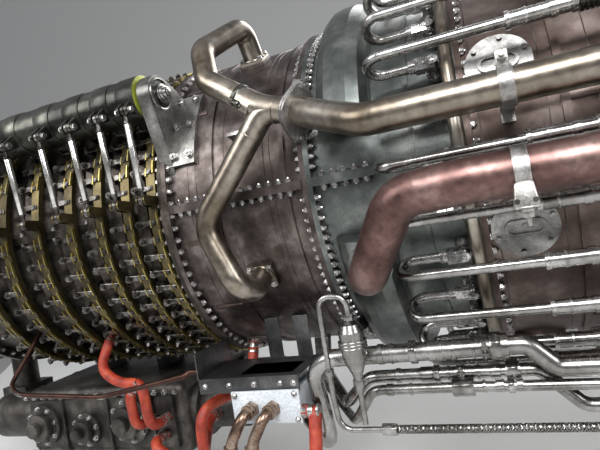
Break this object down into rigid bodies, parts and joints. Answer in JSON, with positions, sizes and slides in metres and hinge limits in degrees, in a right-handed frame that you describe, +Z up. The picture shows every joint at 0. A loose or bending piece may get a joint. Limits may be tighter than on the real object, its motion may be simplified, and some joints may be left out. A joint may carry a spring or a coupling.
{
  "type": "gas turbine",
  "caption": "Industrial gas turbine with variable-vane axial compressor, ring combustor, gas generator turbine and free power turbine, with its vane drive and pipework.",
  "frame": {"origin": "centre of the inlet flange's front face, on the shaft axis", "axes": "+X aft along the shaft axis towards the coupling, +Z up, -Y towards the left side with the large air pipes"},
  "size_m": [4.48, 1.36, 1.37],
  "materials": {
    "cast_grey": "bead-blasted casting",
    "dark_steel": "dark heat-tinted steel",
    "lever_steel": "bright worn edges",
    "ring_steel": "golden heat tint",
    "polished_steel": "polished",
    "chromate_yellow": "yellow-green chromate, satin",
    "brown_steel": "heat-tinted brown",
    "grey_green_steel": "satin grey with a green-blue cast",
    "bolt_steel": "satin, warm tint",
    "stainless_tube": "bright drawn tube with golden tint",
    "red_brown_tube": "red-brown heat tint",
    "sheet_grey": "satin grey",
    "liner_alloy": "matt heat-resisting alloy",
    "blade_steel": "satin machined"
  },
  "bodies": {
    "casing": {"inlet_bellmouth": "cast_grey", "nose_cone": "cast_grey", "front_frame": "cast_grey", "accessory_gearbox": "cast_grey", "vane_actuators": "cast_grey", "shaft_bearing_brackets": "cast_grey", "front_case_upper": "dark_steel", "front_case_lower": "dark_steel", "vane_levers": "lever_steel", "rear_case_upper": "brown_steel", "rear_case_lower": "brown_steel", "turbine_case": "brown_steel", "turbine_mid_frame": "brown_steel", "power_turbine_case": "brown_steel", "exhaust_frame": "brown_steel", "diffuser_case_upper": "grey_green_steel", "diffuser_case_lower": "grey_green_steel", "casing_bolts": "bolt_steel", "fuel_nozzles": "bolt_steel", "inspection_covers": "bolt_steel", "pipe_clamps": "bolt_steel", "fuel_pigtails": "stainless_tube", "fuel_manifold": "stainless_tube", "ring_manifold": "stainless_tube", "bleed_manifold": "stainless_tube", "bleed_pipe": "stainless_tube", "drain_canister": "stainless_tube", "service_pipes": "stainless_tube", "flexible_lines": "stainless_tube", "recoup_pipe": "red_brown_tube", "instrument_tray": "sheet_grey", "combustor_liner": "liner_alloy"},
    "gas_generator_rotor": {"compressor_rotor": "blade_steel", "gas_generator_turbine": "blade_steel"},
    "power_rotor": {"power_turbine_rotor": "blade_steel"},
    "torque_shaft_left": {"torque_shaft_left": "chromate_yellow"},
    "torque_shaft_right": {"torque_shaft_right": "chromate_yellow"},
    "actuator_rod_left": {"actuator_rod_left": "polished_steel"},
    "actuator_rod_right": {"actuator_rod_right": "polished_steel"},
    "unison_ring_1": {"unison_ring_1": "ring_steel"},
    "unison_ring_2": {"unison_ring_2": "ring_steel"},
    "unison_ring_3": {"unison_ring_3": "ring_steel"},
    "unison_ring_4": {"unison_ring_4": "ring_steel"},
    "unison_ring_5": {"unison_ring_5": "ring_steel"},
    "unison_ring_6": {"unison_ring_6": "ring_steel"},
    "unison_ring_7": {"unison_ring_7": "ring_steel"},
    "vane_link_left_1": {"vane_link_left_1": "polished_steel"},
    "vane_link_left_2": {"vane_link_left_2": "polished_steel"},
    "vane_link_left_3": {"vane_link_left_3": "polished_steel"},
    "vane_link_left_4": {"vane_link_left_4": "polished_steel"},
    "vane_link_left_5": {"vane_link_left_5": "polished_steel"},
    "vane_link_left_6": {"vane_link_left_6": "polished_steel"},
    "vane_link_left_7": {"vane_link_left_7": "polished_steel"},
    "vane_link_right_1": {"vane_link_right_1": "polished_steel"},
    "vane_link_right_2": {"vane_link_right_2": "polished_steel"},
    "vane_link_right_3": {"vane_link_right_3": "polished_steel"},
    "vane_link_right_4": {"vane_link_right_4": "polished_steel"},
    "vane_link_right_5": {"vane_link_right_5": "polished_steel"},
    "vane_link_right_6": {"vane_link_right_6": "polished_steel"},
    "vane_link_right_7": {"vane_link_right_7": "polished_steel"}
  },
  "joints": [
    {"name": "gas_generator_spin", "type": "hinge", "parent": "casing", "child": "gas_generator_rotor", "pos_m": [1.5, 0, 0], "axis": [1, 0, 0], "continuous": true},
    {"name": "power_turbine_spin", "type": "hinge", "parent": "casing", "child": "power_rotor", "pos_m": [3.6, 0, 0], "axis": [1, 0, 0], "continuous": true},
    {"name": "torque_shaft_left_turn", "type": "hinge", "parent": "casing", "child": "torque_shaft_left", "pos_m": [1.2, -0.425, 0.285], "axis": [1, 0, 0], "range_deg": [-11.5, 11.5]},
    {"name": "torque_shaft_right_turn", "type": "hinge", "parent": "casing", "child": "torque_shaft_right", "pos_m": [1.2, 0.425, 0.285], "axis": [1, 0, 0], "range_deg": [-12, 12]},
    {"name": "unison_ring_1_turn", "type": "hinge", "parent": "casing", "child": "unison_ring_1", "pos_m": [0.895, 0, 0], "axis": [1, 0, 0], "range_deg": [-2.25, 2.25]},
    {"name": "unison_ring_2_turn", "type": "hinge", "parent": "casing", "child": "unison_ring_2", "pos_m": [1.025, 0, 0], "axis": [1, 0, 0], "range_deg": [-2.13, 2.13]},
    {"name": "unison_ring_3_turn", "type": "hinge", "parent": "casing", "child": "unison_ring_3", "pos_m": [1.15, 0, 0], "axis": [1, 0, 0], "range_deg": [-2.02, 2.02]},
    {"name": "unison_ring_4_turn", "type": "hinge", "parent": "casing", "child": "unison_ring_4", "pos_m": [1.27, 0, 0], "axis": [1, 0, 0], "range_deg": [-1.97, 1.97]},
    {"name": "unison_ring_5_turn", "type": "hinge", "parent": "casing", "child": "unison_ring_5", "pos_m": [1.37, 0, 0], "axis": [1, 0, 0], "range_deg": [-1.91, 1.91]},
    {"name": "unison_ring_6_turn", "type": "hinge", "parent": "casing", "child": "unison_ring_6", "pos_m": [1.46, 0, 0], "axis": [1, 0, 0], "range_deg": [-1.8, 1.8]},
    {"name": "unison_ring_7_turn", "type": "hinge", "parent": "casing", "child": "unison_ring_7", "pos_m": [1.54, 0, 0], "axis": [1, 0, 0], "range_deg": [-1.64, 1.64]},
    {"name": "vane_link_left_1_swing", "type": "hinge", "parent": "torque_shaft_left", "child": "vane_link_left_1", "pos_m": [0.895, -0.50467, 0.239], "axis": [1, 0, 0], "range_deg": [-14.71, 14.71]},
    {"name": "vane_link_left_2_swing", "type": "hinge", "parent": "torque_shaft_left", "child": "vane_link_left_2", "pos_m": [1.025, -0.50121, 0.241], "axis": [1, 0, 0], "range_deg": [-14.55, 14.55]},
    {"name": "vane_link_left_3_swing", "type": "hinge", "parent": "torque_shaft_left", "child": "vane_link_left_3", "pos_m": [1.15, -0.49775, 0.243], "axis": [1, 0, 0], "range_deg": [-14.4, 14.4]},
    {"name": "vane_link_left_4_swing", "type": "hinge", "parent": "torque_shaft_left", "child": "vane_link_left_4", "pos_m": [1.27, -0.49601, 0.244], "axis": [1, 0, 0], "range_deg": [-14.33, 14.33]},
    {"name": "vane_link_left_5_swing", "type": "hinge", "parent": "torque_shaft_left", "child": "vane_link_left_5", "pos_m": [1.37, -0.49428, 0.245], "axis": [1, 0, 0], "range_deg": [-14.25, 14.25]},
    {"name": "vane_link_left_6_swing", "type": "hinge", "parent": "torque_shaft_left", "child": "vane_link_left_6", "pos_m": [1.46, -0.49082, 0.247], "axis": [1, 0, 0], "range_deg": [-14.1, 14.1]},
    {"name": "vane_link_left_7_swing", "type": "hinge", "parent": "torque_shaft_left", "child": "vane_link_left_7", "pos_m": [1.54, -0.48562, 0.25], "axis": [1, 0, 0], "range_deg": [-13.89, 13.89]},
    {"name": "vane_link_right_1_swing", "type": "hinge", "parent": "torque_shaft_right", "child": "vane_link_right_1", "pos_m": [0.895, 0.50467, 0.239], "axis": [1, 0, 0], "range_deg": [-14.71, 14.71]},
    {"name": "vane_link_right_2_swing", "type": "hinge", "parent": "torque_shaft_right", "child": "vane_link_right_2", "pos_m": [1.025, 0.50121, 0.241], "axis": [1, 0, 0], "range_deg": [-14.55, 14.55]},
    {"name": "vane_link_right_3_swing", "type": "hinge", "parent": "torque_shaft_right", "child": "vane_link_right_3", "pos_m": [1.15, 0.49775, 0.243], "axis": [1, 0, 0], "range_deg": [-14.4, 14.4]},
    {"name": "vane_link_right_4_swing", "type": "hinge", "parent": "torque_shaft_right", "child": "vane_link_right_4", "pos_m": [1.27, 0.49601, 0.244], "axis": [1, 0, 0], "range_deg": [-14.33, 14.33]},
    {"name": "vane_link_right_5_swing", "type": "hinge", "parent": "torque_shaft_right", "child": "vane_link_right_5", "pos_m": [1.37, 0.49428, 0.245], "axis": [1, 0, 0], "range_deg": [-14.25, 14.25]},
    {"name": "vane_link_right_6_swing", "type": "hinge", "parent": "torque_shaft_right", "child": "vane_link_right_6", "pos_m": [1.46, 0.49082, 0.247], "axis": [1, 0, 0], "range_deg": [-14.1, 14.1]},
    {"name": "vane_link_right_7_swing", "type": "hinge", "parent": "torque_shaft_right", "child": "vane_link_right_7", "pos_m": [1.54, 0.48562, 0.25], "axis": [1, 0, 0], "range_deg": [-13.89, 13.89]},
    {"name": "actuator_rod_left_stroke", "type": "slide", "parent": "casing", "child": "actuator_rod_left", "axis": [0, 0, 1], "range_m": [-0.0145, 0.0145]},
    {"name": "actuator_rod_right_stroke", "type": "slide", "parent": "casing", "child": "actuator_rod_right", "axis": [0, 0, 1], "range_m": [-0.0145, 0.0145]}
  ],
  "couplings": [
    {"joint": "torque_shaft_right_turn", "follows": "torque_shaft_left_turn", "ratio": 1},
    {"joint": "unison_ring_1_turn", "follows": "torque_shaft_left_turn", "ratio": 0.18691},
    {"joint": "unison_ring_2_turn", "follows": "torque_shaft_left_turn", "ratio": 0.17686},
    {"joint": "unison_ring_3_turn", "follows": "torque_shaft_left_turn", "ratio": 0.16702},
    {"joint": "unison_ring_4_turn", "follows": "torque_shaft_left_turn", "ratio": 0.16218},
    {"joint": "unison_ring_5_turn", "follows": "torque_shaft_left_turn", "ratio": 0.15739},
    {"joint": "unison_ring_6_turn", "follows": "torque_shaft_left_turn", "ratio": 0.14796},
    {"joint": "unison_ring_7_turn", "follows": "torque_shaft_left_turn", "ratio": 0.13418},
    {"joint": "vane_link_left_1_swing", "follows": "torque_shaft_left_turn", "ratio": -1.2532},
    {"joint": "vane_link_left_2_swing", "follows": "torque_shaft_left_turn", "ratio": -1.2395},
    {"joint": "vane_link_left_3_swing", "follows": "torque_shaft_left_turn", "ratio": -1.2262},
    {"joint": "vane_link_left_4_swing", "follows": "torque_shaft_left_turn", "ratio": -1.2196},
    {"joint": "vane_link_left_5_swing", "follows": "torque_shaft_left_turn", "ratio": -1.2131},
    {"joint": "vane_link_left_6_swing", "follows": "torque_shaft_left_turn", "ratio": -1.2003},
    {"joint": "vane_link_left_7_swing", "follows": "torque_shaft_left_turn", "ratio": -1.1816},
    {"joint": "vane_link_right_1_swing", "follows": "torque_shaft_left_turn", "ratio": -1.2532},
    {"joint": "vane_link_right_2_swing", "follows": "torque_shaft_left_turn", "ratio": -1.2395},
    {"joint": "vane_link_right_3_swing", "follows": "torque_shaft_left_turn", "ratio": -1.2262},
    {"joint": "vane_link_right_4_swing", "follows": "torque_shaft_left_turn", "ratio": -1.2196},
    {"joint": "vane_link_right_5_swing", "follows": "torque_shaft_left_turn", "ratio": -1.2131},
    {"joint": "vane_link_right_6_swing", "follows": "torque_shaft_left_turn", "ratio": -1.2003},
    {"joint": "vane_link_right_7_swing", "follows": "torque_shaft_left_turn", "ratio": -1.1816},
    {"joint": "actuator_rod_left_stroke", "follows": "torque_shaft_left_turn", "m_per_rad": -0.07},
    {"joint": "actuator_rod_right_stroke", "follows": "torque_shaft_left_turn", "m_per_rad": 0.07}
  ]
}
